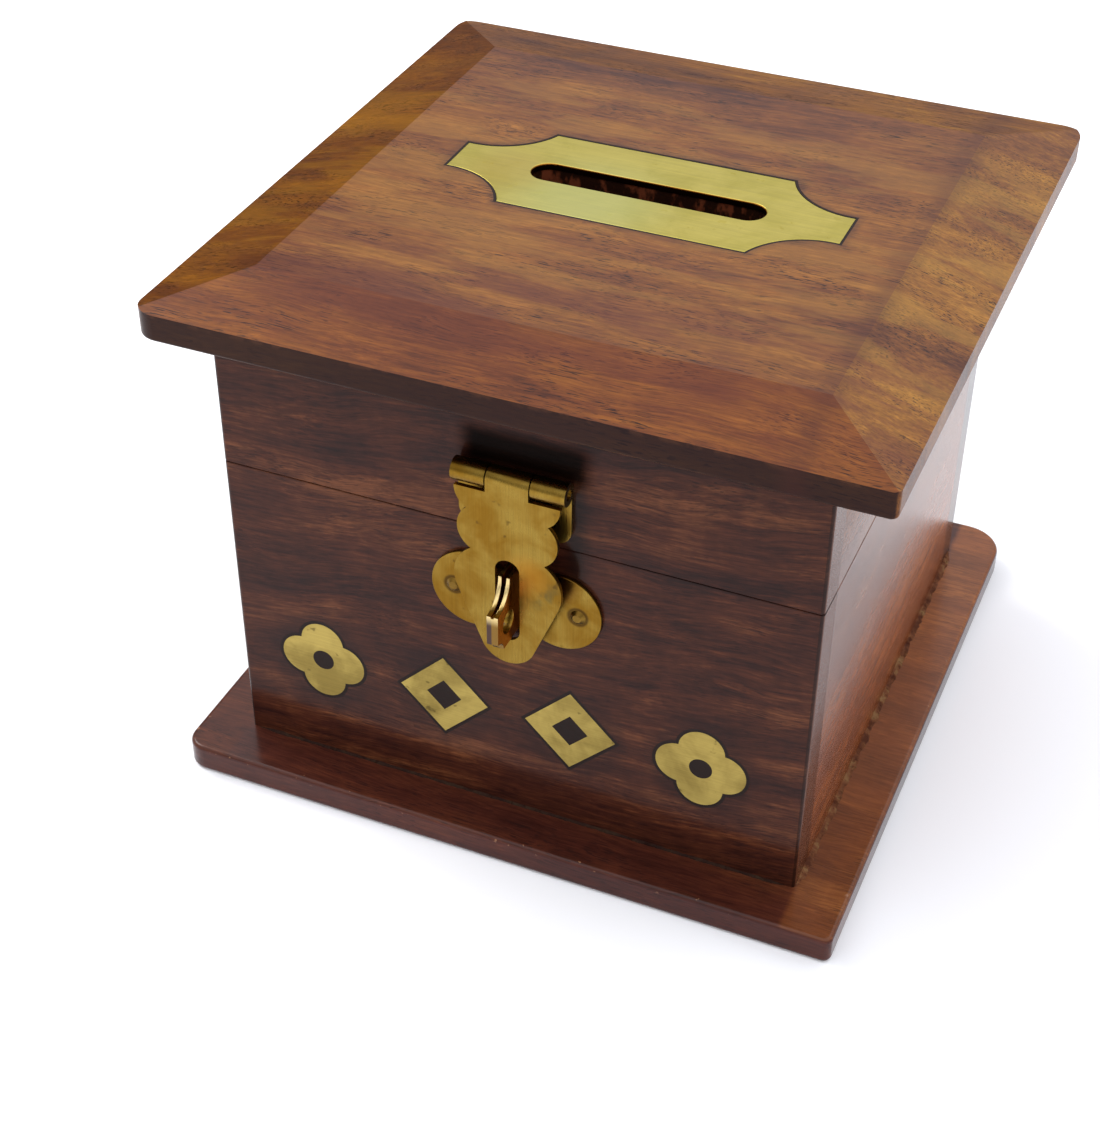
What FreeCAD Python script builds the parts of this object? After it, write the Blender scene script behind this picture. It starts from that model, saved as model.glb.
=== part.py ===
import FreeCAD, Part
import Sketcher
import math
import os

# Donation box in hardwood with brass fittings: a square carcass on a wider base board, a deep
# hinged lid with a bevelled top board, an inlaid coin-slot plate, a hasp closing over a staple,
# and four inlaid brass ornaments across the front.
# Units are millimetres. +Z is up, the front faces -Y, and the origin is the centre of the underside.

os.makedirs("parts", exist_ok=True)
doc = FreeCAD.newDocument("donation_box")

# ---------------------------------------------------------------- driving dimensions
DIMENSIONS = [
    ("body_size", 118.0, "outside of the square carcass"),
    ("wall_thick", 8.0, "board thickness of carcass and lid rim"),
    ("base_size", 139.0, "square base board"),
    ("base_thick", 6.0, "base board thickness"),
    ("base_round_fl", 4.5, "base corner, front left"),
    ("base_round_fr", 1.6, "base corner, front right"),
    ("base_round_br", 8.5, "base corner, back right"),
    ("base_round_bl", 4.0, "base corner, back left"),
    ("base_soft", 0.9, "sanded edge of the base"),
    ("seam_low", 72.5, "top of the carcass walls"),
    ("seam_gap", 0.2, "gap under the closed lid"),
    ("seam_soft", 0.15, "eased edge along the seam"),
    ("upright_soft", 0.9, "sanded upright corners"),
    ("lid_size", 140.0, "square lid board"),
    ("lid_x", 1.3, "lid board sits this far to the right"),
    ("lid_y", 0.9, "lid board sits this far back"),
    ("lid_under", 103.0, "underside of the lid board"),
    ("lid_arris", 108.5, "top of the lid board's edge"),
    ("lid_top", 112.5, "top of the raised field"),
    ("bevel_front", 17.0, "bevel width, front"),
    ("bevel_back", 19.5, "bevel width, back"),
    ("bevel_side", 16.5, "bevel width, left and right"),
    ("lid_round_fl", 4.5, "lid corner, front left"),
    ("lid_round_fr", 1.4, "lid corner, front right"),
    ("lid_round_br", 5.0, "lid corner, back right"),
    ("lid_round_bl", 4.0, "lid corner, back left"),
    ("lid_soft", 0.7, "sanded lower edge of the lid board"),
    ("plate_length", 79.0, "coin-slot plate"),
    ("plate_width", 30.2, "coin-slot plate, wide part"),
    ("plate_thick", 1.5, "coin-slot plate"),
    ("plate_x", 1.6, "plate centre, right of the middle"),
    ("plate_y", 2.3, "plate centre, behind the middle"),
    ("scallop_radius", 14.8, "hollowed corners of the plate"),
    ("scallop_x", 38.55, "scallop centre from the plate centre"),
    ("scallop_y", 20.0, "scallop centre from the plate centre"),
    ("slot_length", 47.4, "coin slot, end to end"),
    ("slot_width", 7.2, "coin slot"),
    ("slot_ease", 0.3, "coin slot is this much larger in the wood"),
    ("filler_edge", 0.5, "dark filler around the plate"),
    ("inlay_pitch", 26.5, "spacing of the ornaments"),
    ("inlay_mid", -1.0, "centre of the row of ornaments"),
    ("inlay_height", 29.6, "ornament centre above the floor"),
    ("inlay_thick", 1.2, "ornament thickness"),
    ("lobe_radius", 4.6, "quatrefoil lobe"),
    ("lobe_reach", 4.4, "quatrefoil lobe centre"),
    ("eye_radius", 2.3, "round opening in a quatrefoil"),
    ("lozenge_reach", 9.3, "half diagonal of a lozenge"),
    ("lozenge_hole", 3.7, "half diagonal of its opening"),
    ("bed_edge", 0.7, "dark filler around an ornament"),
    ("hasp_x", 1.5, "hasp centre line"),
    ("sheet", 0.9, "brass sheet"),
    ("leaf_half", 10.95, "half width of the hasp's fixed leaf"),
    ("leaf_low", 74.4, "lower edge of the fixed leaf"),
    ("leaf_round", 3.0, "its lower corners"),
    ("barrel_radius", 2.2, "hasp barrel"),
    ("barrel_stand", 2.25, "barrel axis in front of the carcass"),
    ("barrel_z", 86.4, "barrel axis height"),
    ("knuckle_half", 4.15, "half width of the strap's knuckle"),
    ("knuckle_gap", 0.25, "gap beside a knuckle"),
    ("pin_radius", 1.0, "hinge pins"),
    ("bore_play", 0.05, "running clearance of a pin"),
    ("shoulder_half", 10.2, "strap outline"),
    ("shoulder_z", 84.3, "strap outline"),
    ("shoulder_arc", 5.0, "strap outline"),
    ("notch_one_half", 7.9, "strap outline"),
    ("notch_one_z", 79.9, "strap outline"),
    ("lobe_arc", 5.5, "strap outline"),
    ("notch_two_half", 7.2, "strap outline"),
    ("notch_two_z", 71.1, "strap outline"),
    ("cheek_arc", 7.5, "strap outline"),
    ("cheek_half", 10.0, "strap outline"),
    ("cheek_z", 61.9, "strap outline"),
    ("tail_arc", 5.5, "strap outline"),
    ("tail_half", 5.08, "strap outline"),
    ("tail_z", 50.0, "strap outline"),
    ("tail_end_z", 46.6, "strap outline"),
    ("window_half", 2.4, "window in the strap, half width"),
    ("window_low", 52.1, "window in the strap"),
    ("window_high", 70.3, "window in the strap"),
    ("staple_z", 58.65, "staple plate centre height"),
    ("ear_radius", 8.25, "staple plate ears"),
    ("ear_reach", 8.75, "ear centre from the middle"),
    ("waist_half", 6.5, "half height between the ears"),
    ("lug_thick", 2.3, "folded lug, both layers"),
    ("lug_low", 53.4, "lug, lower edge"),
    ("lug_high", 67.6, "lug, upper edge"),
    ("lug_nose", 70.2, "lug reaches this far forward"),
    ("lug_round_low", 2.5, "lug, lower nose corner"),
    ("lug_round_high", 5.3, "lug, upper nose corner"),
    ("split_low", 61.9, "the layers part above this height"),
    ("split_foot", 0.5, "gap between the layers, lower end"),
    ("split_head", 0.95, "gap between the layers, upper end"),
    ("eye_y", 65.6, "padlock eye, forward of the middle"),
    ("eye_z", 58.3, "padlock eye height"),
    ("eye_bore", 2.3, "padlock eye radius"),
    ("nail_head", 1.5, "brass nail head radius"),
    ("nail_rise", 0.55, "brass nail head height"),
    ("nail_shank", 0.6, "brass nail shank radius"),
    ("nail_length", 6.0, "brass nail shank in the wood"),
    ("staple_nail_x", 12.4, "staple nails from the hasp centre"),
    ("leaf_nail_x", 6.4, "leaf nails from the hasp centre"),
    ("leaf_nail_z", 79.0, "leaf nails height"),
    ("butt_x", 35.0, "rear butt hinges from the middle"),
    ("butt_half", 11.0, "half width of a butt hinge"),
    ("butt_inner", 52.5, "inner edge of its leaves"),
    ("butt_leaf", 1.0, "leaf thickness"),
    ("butt_stand", 2.2, "axis behind the carcass"),
    ("butt_radius", 2.0, "knuckle radius"),
    ("butt_knuckle", 4.0, "half width of the middle knuckle"),
    ("butt_screw_x", 7.5, "screws from the hinge middle"),
    ("butt_screw_y", 55.5, "screws from the box middle"),
    ("screw_head", 1.5, "screw head radius"),
    ("screw_sink", 0.6, "screw head depth"),
    ("screw_shank", 0.8, "screw shank radius"),
    ("screw_length", 7.0, "screw shank in the wood"),
    ("base_screw_y", 36.0, "base screws from the middle"),
    ("base_screw_head", 3.0, "base screw head radius"),
    ("base_screw_sink", 2.0, "base screw head depth"),
    ("base_screw_shank", 1.4, "base screw shank radius"),
    ("base_screw_length", 14.0, "base screw shank above its head"),
]
sheet = doc.addObject("Spreadsheet::Sheet", "Dims")
for row, (alias, value, note) in enumerate(DIMENSIONS, start=1):
    sheet.set("A%d" % row, alias)
    sheet.set("B%d" % row, str(value))
    sheet.set("C%d" % row, note)
    sheet.setAlias("B%d" % row, alias)
doc.recompute()
NAMES = sorted((alias for alias, _, _ in DIMENSIONS), key=len, reverse=True)
PLANES = {"XY": 3, "XZ": 4, "YZ": 5}


def bound(text):
    """An expression in terms of the dimension sheet."""
    out = []
    word = ""
    for char in text + " ":
        if char.isalnum() or char == "_":
            word += char
            continue
        out.append("Dims." + word if word in NAMES else word)
        out.append(char)
        word = ""
    return "".join(out).strip()


def value_of(text):
    """The present value of an expression."""
    result = sheet.evalExpression(bound(text))
    return float(getattr(result, "Value", result))


# ---------------------------------------------------------------- primitives and booleans
def place(obj, x, y, z, turn=None):
    if turn is not None:
        obj.Placement = FreeCAD.Placement(FreeCAD.Vector(0, 0, 0), turn)
    obj.setExpression("Placement.Base.x", bound(x))
    obj.setExpression("Placement.Base.y", bound(y))
    obj.setExpression("Placement.Base.z", bound(z))
    return obj


def block(name, x, y, z, dx, dy, dz):
    obj = doc.addObject("Part::Box", name)
    obj.setExpression("Length", bound(dx))
    obj.setExpression("Width", bound(dy))
    obj.setExpression("Height", bound(dz))
    return place(obj, x, y, z)


TURNS = {
    "+Z": FreeCAD.Rotation(),
    "-Z": FreeCAD.Rotation(FreeCAD.Vector(1, 0, 0), 180),
    "+X": FreeCAD.Rotation(FreeCAD.Vector(0, 1, 0), 90),
    "+Y": FreeCAD.Rotation(FreeCAD.Vector(1, 0, 0), -90),
    "-Y": FreeCAD.Rotation(FreeCAD.Vector(1, 0, 0), 90),
}


def rod(name, way, x, y, z, radius, length):
    obj = doc.addObject("Part::Cylinder", name)
    obj.setExpression("Radius", bound(radius))
    obj.setExpression("Height", bound(length))
    return place(obj, x, y, z, TURNS[way])


def dome(name, x, y, z, radius, rise):
    """A low nail head facing the front."""
    obj = doc.addObject("Part::Cone", name)
    obj.setExpression("Radius1", bound(radius))
    obj.setExpression("Radius2", bound("0.55 * " + radius))
    obj.setExpression("Height", bound(rise))
    return place(obj, x, y, z, TURNS["-Y"])


def cut(name, base, *tools):
    tool = tools[0] if len(tools) == 1 else gather(name + "_tools", *tools)
    obj = doc.addObject("Part::Cut", name)
    obj.Base = base
    obj.Tool = tool
    return obj


def fuse(name, *shapes):
    obj = doc.addObject("Part::MultiFuse", name)
    obj.Shapes = list(shapes)
    return obj


def gather(name, *shapes):
    obj = doc.addObject("Part::Compound", name)
    obj.Links = list(shapes)
    return obj


# ---------------------------------------------------------------- bodies and sketches
def arc_between(a, b, radius, side):
    """The arc joining a and b, bulging to the left (+1) or right (-1) of a->b.

    It always runs anticlockwise, so it starts at b when it bulges to the left.
    """
    chord = b - a
    half = chord.Length / 2
    reach = math.sqrt(max(radius * radius - half * half, 0.0))
    left = FreeCAD.Vector(-chord.y, chord.x, 0).normalize()
    centre = (a + b) * 0.5 - left * (side * reach)
    start, end = (b, a) if side > 0 else (a, b)
    low = math.atan2(start.y - centre.y, start.x - centre.x)
    high = math.atan2(end.y - centre.y, end.x - centre.x)
    if high <= low:
        high += 2 * math.pi
    return Part.ArcOfCircle(Part.Circle(centre, FreeCAD.Vector(0, 0, 1), radius), low, high)


def sketch_on(body, name, plane, offset):
    sketch = body.newObject("Sketcher::SketchObject", name)
    sketch.AttachmentSupport = [(body.Origin.OriginFeatures[PLANES[plane]], "")]
    sketch.MapMode = "FlatFace"
    if offset is not None:
        sketch.setExpression("AttachmentOffset.Base.z", bound(offset))
    return sketch


def loop(sketch, corners):
    """A closed outline. Each corner is (x, y) or (x, y, radius, side) for an arc to the next one."""
    first = sketch.GeometryCount
    count = len(corners)
    points = [FreeCAD.Vector(value_of(c[0]), value_of(c[1]), 0) for c in corners]
    for i, corner in enumerate(corners):
        a = points[i]
        b = points[(i + 1) % count]
        if len(corner) == 2:
            sketch.addGeometry(Part.LineSegment(a, b), False)
        else:
            sketch.addGeometry(arc_between(a, b, value_of(corner[2]), corner[3]), False)
    # an arc that bulges to the left starts at the corner after its own
    ends = [(2, 1) if len(c) == 4 and c[3] > 0 else (1, 2) for c in corners]
    for i in range(count):
        after = (i + 1) % count
        sketch.addConstraint(
            Sketcher.Constraint("Coincident", first + i, ends[i][1], first + after, ends[after][0])
        )
    for i, corner in enumerate(corners):
        for kind, text, here in (("DistanceX", corner[0], points[i].x), ("DistanceY", corner[1], points[i].y)):
            number = sketch.addConstraint(
                Sketcher.Constraint(kind, -1, 1, first + i, ends[i][0], here)
            )
            sketch.setExpression("Constraints[%d]" % number, bound(text))
        if len(corner) == 4:
            number = sketch.addConstraint(
                Sketcher.Constraint("Radius", first + i, value_of(corner[2]))
            )
            sketch.setExpression("Constraints[%d]" % number, bound(corner[2]))


def circle(sketch, x, y, radius):
    centre = FreeCAD.Vector(value_of(x), value_of(y), 0)
    number = sketch.addGeometry(
        Part.Circle(centre, FreeCAD.Vector(0, 0, 1), value_of(radius)), False
    )
    for kind, text, here in (("DistanceX", x, centre.x), ("DistanceY", y, centre.y)):
        k = sketch.addConstraint(Sketcher.Constraint(kind, -1, 1, number, 3, here))
        sketch.setExpression("Constraints[%d]" % k, bound(text))
    k = sketch.addConstraint(Sketcher.Constraint("Radius", number, value_of(radius)))
    sketch.setExpression("Constraints[%d]" % k, bound(radius))


def new_body(name):
    return doc.addObject("PartDesign::Body", name)


def pad(body, name, sketch, length, midplane=False):
    feature = body.newObject("PartDesign::Pad", name)
    feature.Profile = sketch
    feature.Midplane = midplane
    feature.setExpression("Length", bound(length))
    body.Tip = feature
    return feature


def pocket(body, name, sketch, length, midplane=False):
    """Removes material against the sketch's normal, or both ways when midplane."""
    before = shape_volume(body)
    feature = body.newObject("PartDesign::Pocket", name)
    feature.Profile = sketch
    feature.Midplane = midplane
    feature.setExpression("Length", bound(length))
    body.Tip = feature
    doc.recompute()
    if shape_volume(body) > before - 1e-6:
        feature.Reversed = True
        doc.recompute()
    if shape_volume(body) > before - 1e-6:
        raise RuntimeError("pocket %s removes nothing" % name)
    return feature


def shape_volume(body):
    doc.recompute()
    return body.Shape.Volume


def ease(body, name, kind, size, wanted):
    """A fillet or chamfer on every edge whose middle point satisfies wanted(point, edge)."""
    doc.recompute()
    base = body.Tip
    names = []
    for number, edge in enumerate(base.Shape.Edges, start=1):
        middle = edge.valueAt((edge.FirstParameter + edge.LastParameter) / 2)
        if wanted(middle, edge):
            names.append("Edge%d" % number)
    if not names:
        raise RuntimeError("%s finds no edge" % name)
    feature = body.newObject("PartDesign::" + kind, name)
    feature.Base = (base, names)
    feature.setExpression("Radius" if kind == "Fillet" else "Size", bound(size))
    body.Tip = feature
    return feature


def near(a, b):
    return abs(a - b) < 1e-4


def rounded_square(sketch, size, fl, fr, br, bl):
    """A square outline about the origin with its own radius at each corner."""
    reach = "(%s / 2)" % size
    loop(sketch, [
        ("-%s + %s" % (reach, fl), "-" + reach),
        ("%s - %s" % (reach, fr), "-" + reach, fr, -1),
        (reach, "-%s + %s" % (reach, fr)),
        (reach, "%s - %s" % (reach, br), br, -1),
        ("%s - %s" % (reach, br), reach),
        ("-%s + %s" % (reach, bl), reach, bl, -1),
        ("-" + reach, "%s - %s" % (reach, bl)),
        ("-" + reach, "-%s + %s" % (reach, fl), fl, -1),
    ])


def rectangle(sketch, x0, y0, x1, y1):
    loop(sketch, [(x0, y0), (x1, y0), (x1, y1), (x0, y1)])


nodes = {}


def node(label, obj):
    obj.Label = label
    nodes[label] = obj
    return obj


HALF = "(body_size / 2)"
INNER = "(body_size / 2 - wall_thick)"
RIM_LOW = "(seam_low + seam_gap)"
FRONT = -value_of("body_size") / 2
SIDE = value_of("body_size") / 2

# ---------------------------------------------------------------- base board and its screws
base_body = new_body("base_board_body")
outline = sketch_on(base_body, "base_outline", "XY", None)
rounded_square(outline, "base_size", "base_round_fl", "base_round_fr", "base_round_br", "base_round_bl")
pad(base_body, "base_pad", outline, "base_thick")
top = value_of("base_thick")
ease(base_body, "base_soft_edges", "Fillet", "base_soft",
     lambda p, e: near(p.z, top) or near(p.z, 0))
screw_spots = []
for side in (-1, 1):
    for end in (-1, 1):
        x = "%d * (body_size / 2 - wall_thick / 2)" % side
        y = "%d * base_screw_y" % end
        screw_spots.append((x, y))
base_screws = []
base_holes = []
for k, (x, y) in enumerate(screw_spots, start=1):
    head = rod("base_head_%d" % k, "+Z", x, y, "0.3", "base_screw_head", "base_screw_sink")
    shank = rod("base_shank_%d" % k, "+Z", x, y, "0.3", "base_screw_shank",
                "base_screw_sink + base_screw_length")
    base_screws.append(fuse("base_screw_%d" % k, head, shank))
    base_holes.append(rod("base_sink_%d" % k, "+Z", x, y, "-0.1", "base_screw_head",
                          "base_screw_sink + 0.4"))
    base_holes.append(rod("base_drill_%d" % k, "+Z", x, y, "-0.1", "base_screw_shank",
                          "base_screw_sink + base_screw_length + 0.4"))
node("base_board", cut("base_board_cut", base_body, *base_holes))
node("base_screws", gather("base_screw_set", *base_screws))


# ---------------------------------------------------------------- boards of carcass and lid rim
def board(name, across, low, high, seam_at):
    """One upright board. across is front, back, left or right."""
    body = new_body(name + "_body")
    height = "(%s) - (%s)" % (high, low)
    plan = sketch_on(body, name + "_plan", "XY", low)
    if across == "front":
        rectangle(plan, "-" + HALF, "-" + HALF, HALF, "-" + INNER)
    elif across == "back":
        rectangle(plan, "-" + HALF, INNER, HALF, HALF)
    elif across == "left":
        rectangle(plan, "-" + HALF, "-" + INNER, "-" + INNER, INNER)
    else:
        rectangle(plan, INNER, "-" + INNER, HALF, INNER)
    pad(body, name + "_pad", plan, height)
    if across in ("front", "back"):
        face = FRONT if across == "front" else -FRONT
        ease(body, name + "_uprights", "Fillet", "upright_soft",
             lambda p, e: near(abs(p.x), SIDE) and near(p.y, face))
    level = value_of(seam_at)

    def on_seam(p, e):
        outer = near(abs(p.x), SIDE) or near(abs(p.y), SIDE)
        corner = abs(p.x) > SIDE - 1 and abs(p.y) > SIDE - 1
        return near(p.z, level) and (outer or corner)

    ease(body, name + "_seam", "Chamfer", "seam_soft", on_seam)
    return body


wall = {}
rim = {}
for across in ("front", "back", "left", "right"):
    wall[across] = board(across + "_wall", across, "base_thick", "seam_low", "seam_low")
    rim[across] = board("lid_%s_rim" % across, across, RIM_LOW, "lid_under", RIM_LOW)


# ---------------------------------------------------------------- brass ornaments and their filler
def quatrefoil(sketch, x, z, radius):
    """Four round lobes; the cusps lie on the diagonals."""
    cusp = "((lobe_reach + sqrt(2 * (%s)^2 - lobe_reach^2)) / 2)" % radius
    loop(sketch, [
        ("%s + %s" % (x, cusp), "%s - %s" % (z, cusp), radius, -1),
        ("%s + %s" % (x, cusp), "%s + %s" % (z, cusp), radius, -1),
        ("%s - %s" % (x, cusp), "%s + %s" % (z, cusp), radius, -1),
        ("%s - %s" % (x, cusp), "%s - %s" % (z, cusp), radius, -1),
    ])


def lozenge(sketch, x, z, reach):
    loop(sketch, [
        ("%s + %s" % (x, reach), z),
        (x, "%s + %s" % (z, reach)),
        ("%s - %s" % (x, reach), z),
        (x, "%s - %s" % (z, reach)),
    ])


inlay_beds = []
for k in range(1, 5):
    x = "(inlay_mid + (%.1f) * inlay_pitch)" % (k - 2.5)
    z = "inlay_height"
    back = "body_size / 2 - inlay_thick"
    round_one = k in (1, 4)
    ornament = new_body("inlay_%d_body" % k)
    shape = sketch_on(ornament, "inlay_%d_outline" % k, "XZ", back)
    if round_one:
        quatrefoil(shape, x, z, "lobe_radius")
        circle(shape, x, z, "eye_radius")
    else:
        lozenge(shape, x, z, "lozenge_reach")
        lozenge(shape, x, z, "lozenge_hole")
    pad(ornament, "inlay_%d_pad" % k, shape, "inlay_thick")
    node("front_inlay_%d" % k, ornament)
    bed = new_body("inlay_%d_bed" % k)
    shape = sketch_on(bed, "inlay_%d_bed_outline" % k, "XZ", back)
    if round_one:
        quatrefoil(shape, x, z, "(lobe_radius + bed_edge)")
    else:
        lozenge(shape, x, z, "(lozenge_reach + bed_edge * sqrt(2))")
    pad(bed, "inlay_%d_bed_pad" % k, shape, "inlay_thick")
    inlay_beds.append(bed)
    node("front_inlay_%d_filler" % k, cut("inlay_%d_filler_cut" % k, bed, ornament))

# ---------------------------------------------------------------- staple: plate, folded lug, nails
staple = new_body("staple_body")
shape = sketch_on(staple, "staple_outline", "XZ", "body_size / 2")
waist_x = "(ear_reach - sqrt(ear_radius^2 - waist_half^2))"
loop(shape, [
    ("hasp_x - " + waist_x, "staple_z - waist_half"),
    ("hasp_x + " + waist_x, "staple_z - waist_half", "ear_radius", -1),
    ("hasp_x + ear_reach + ear_radius", "staple_z", "ear_radius", -1),
    ("hasp_x + " + waist_x, "staple_z + waist_half"),
    ("hasp_x - " + waist_x, "staple_z + waist_half", "ear_radius", -1),
    ("hasp_x - ear_reach - ear_radius", "staple_z", "ear_radius", -1),
])
for side in (-1, 1):
    circle(shape, "hasp_x + %d * staple_nail_x" % side, "staple_z", "nail_shank")
pad(staple, "staple_pad", shape, "sheet")
shape = sketch_on(staple, "lug_outline", "YZ", "hasp_x")
loop(shape, [
    ("-body_size / 2 - sheet / 2", "lug_low"),
    ("-body_size / 2 - sheet / 2", "lug_high"),
    ("-lug_nose + lug_round_high", "lug_high", "lug_round_high", 1),
    ("-lug_nose", "lug_high - lug_round_high"),
    ("-lug_nose", "lug_low + lug_round_low", "lug_round_low", 1),
    ("-lug_nose + lug_round_low", "lug_low"),
])
circle(shape, "-eye_y", "eye_z", "eye_bore")
pad(staple, "lug_pad", shape, "lug_thick", midplane=True)
shape = sketch_on(staple, "lug_split_outline", "XZ", "lug_nose + 1")
loop(shape, [
    ("hasp_x - split_foot / 2", "split_low"),
    ("hasp_x + split_foot / 2", "split_low"),
    ("hasp_x + split_head / 2", "lug_high + 0.2"),
    ("hasp_x - split_head / 2", "lug_high + 0.2"),
])
pocket(staple, "lug_split", shape, "lug_nose + 1 - body_size / 2 - sheet")
node("staple_plate", staple)

staple_nails = []
staple_holes = []
for k, side in enumerate((-1, 1), start=1):
    x = "hasp_x + %d * staple_nail_x" % side
    head = dome("staple_nail_head_%d" % k, x, "-body_size / 2 - sheet", "staple_z",
                "nail_head", "nail_rise")
    shank = rod("staple_nail_shank_%d" % k, "-Y", x, "-body_size / 2 + nail_length", "staple_z",
                "nail_shank", "nail_length + sheet + 0.1")
    staple_nails.append(fuse("staple_nail_%d" % k, head, shank))
    staple_holes.append(rod("staple_hole_%d" % k, "-Y", x, "-body_size / 2 + nail_length",
                            "staple_z", "nail_shank", "nail_length + 1"))
node("staple_nails", gather("staple_nail_set", *staple_nails))

# ---------------------------------------------------------------- hasp: fixed leaf, pin, strap
BARREL_Y = "(-body_size / 2 - barrel_stand)"
STRAP_BACK = "(body_size / 2 + barrel_stand + barrel_radius - sheet)"
leaf = new_body("hasp_leaf_body")
shape = sketch_on(leaf, "leaf_outline", "XZ", "body_size / 2 + barrel_stand - barrel_radius")
loop(shape, [
    ("hasp_x - leaf_half + leaf_round", "leaf_low"),
    ("hasp_x + leaf_half - leaf_round", "leaf_low", "leaf_round", -1),
    ("hasp_x + leaf_half", "leaf_low + leaf_round"),
    ("hasp_x + leaf_half", "barrel_z"),
    ("hasp_x + knuckle_half + knuckle_gap", "barrel_z"),
    ("hasp_x + knuckle_half + knuckle_gap", "barrel_z - barrel_radius - 2 * knuckle_gap"),
    ("hasp_x - knuckle_half - knuckle_gap", "barrel_z - barrel_radius - 2 * knuckle_gap"),
    ("hasp_x - knuckle_half - knuckle_gap", "barrel_z"),
    ("hasp_x - leaf_half", "barrel_z"),
    ("hasp_x - leaf_half", "leaf_low + leaf_round", "leaf_round", -1),
])
for side in (-1, 1):
    circle(shape, "hasp_x + %d * leaf_nail_x" % side, "leaf_nail_z", "nail_shank")
pad(leaf, "leaf_pad", shape, "sheet")
knuckle = "leaf_half - knuckle_half - knuckle_gap"
for k, start in enumerate(("hasp_x - leaf_half", "hasp_x + knuckle_half + knuckle_gap"), start=1):
    shape = sketch_on(leaf, "leaf_knuckle_%d" % k, "YZ", start)
    circle(shape, BARREL_Y, "barrel_z", "barrel_radius")
    circle(shape, BARREL_Y, "barrel_z", "pin_radius + bore_play")
    pad(leaf, "leaf_knuckle_pad_%d" % k, shape, knuckle)
node("hasp_leaf", leaf)
node("hasp_pin", rod("hasp_pin_rod", "+X", "hasp_x - leaf_half + 0.3", BARREL_Y, "barrel_z",
                     "pin_radius", "2 * leaf_half - 0.6"))

strap = new_body("hasp_strap_body")
shape = sketch_on(strap, "strap_outline", "XZ", STRAP_BACK)
right = [
    ("tail_end_z", "0", "tail_arc"),
    ("tail_z", "tail_half", None),
    ("cheek_z", "cheek_half", "cheek_arc"),
    ("notch_two_z", "notch_two_half", "lobe_arc"),
    ("notch_one_z", "notch_one_half", "shoulder_arc"),
    ("shoulder_z", "shoulder_half", None),
    ("shoulder_z", "knuckle_half", None),
    ("barrel_z", "knuckle_half", None),
]
corners = []
for z, x, radius in right:
    spot = ("hasp_x + " + x, z)
    corners.append(spot if radius is None else spot + (radius, -1))
for i in range(len(right) - 1, 0, -1):
    z, x, radius = right[i]
    spot = ("hasp_x - " + x, z)
    arc = right[i - 1][2]
    corners.append(spot if arc is None else spot + (arc, -1))
loop(shape, corners)
loop(shape, [
    ("hasp_x + window_half", "window_low + window_half"),
    ("hasp_x + window_half", "window_high - window_half", "window_half", -1),
    ("hasp_x", "window_high", "window_half", -1),
    ("hasp_x - window_half", "window_high - window_half"),
    ("hasp_x - window_half", "window_low + window_half", "window_half", -1),
    ("hasp_x", "window_low", "window_half", -1),
])
pad(strap, "strap_pad", shape, "sheet")
shape = sketch_on(strap, "strap_knuckle", "YZ", "hasp_x")
circle(shape, BARREL_Y, "barrel_z", "barrel_radius")
circle(shape, BARREL_Y, "barrel_z", "pin_radius + bore_play")
pad(strap, "strap_knuckle_pad", shape, "2 * knuckle_half", midplane=True)
node("hasp_strap", strap)

leaf_nails = []
leaf_holes = []
for k, side in enumerate((-1, 1), start=1):
    x = "hasp_x + %d * leaf_nail_x" % side
    out = "-body_size / 2 - barrel_stand + barrel_radius - sheet"
    head = dome("leaf_nail_head_%d" % k, x, out, "leaf_nail_z", "nail_head", "nail_rise")
    shank = rod("leaf_nail_shank_%d" % k, "-Y", x, "-body_size / 2 + nail_length", "leaf_nail_z",
                "nail_shank", "nail_length + sheet + 0.1")
    leaf_nails.append(fuse("leaf_nail_%d" % k, head, shank))
    leaf_holes.append(rod("leaf_hole_%d" % k, "-Y", x, "-body_size / 2 + nail_length",
                          "leaf_nail_z", "nail_shank", "nail_length + 1"))
node("hasp_leaf_nails", gather("leaf_nail_set", *leaf_nails))

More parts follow.
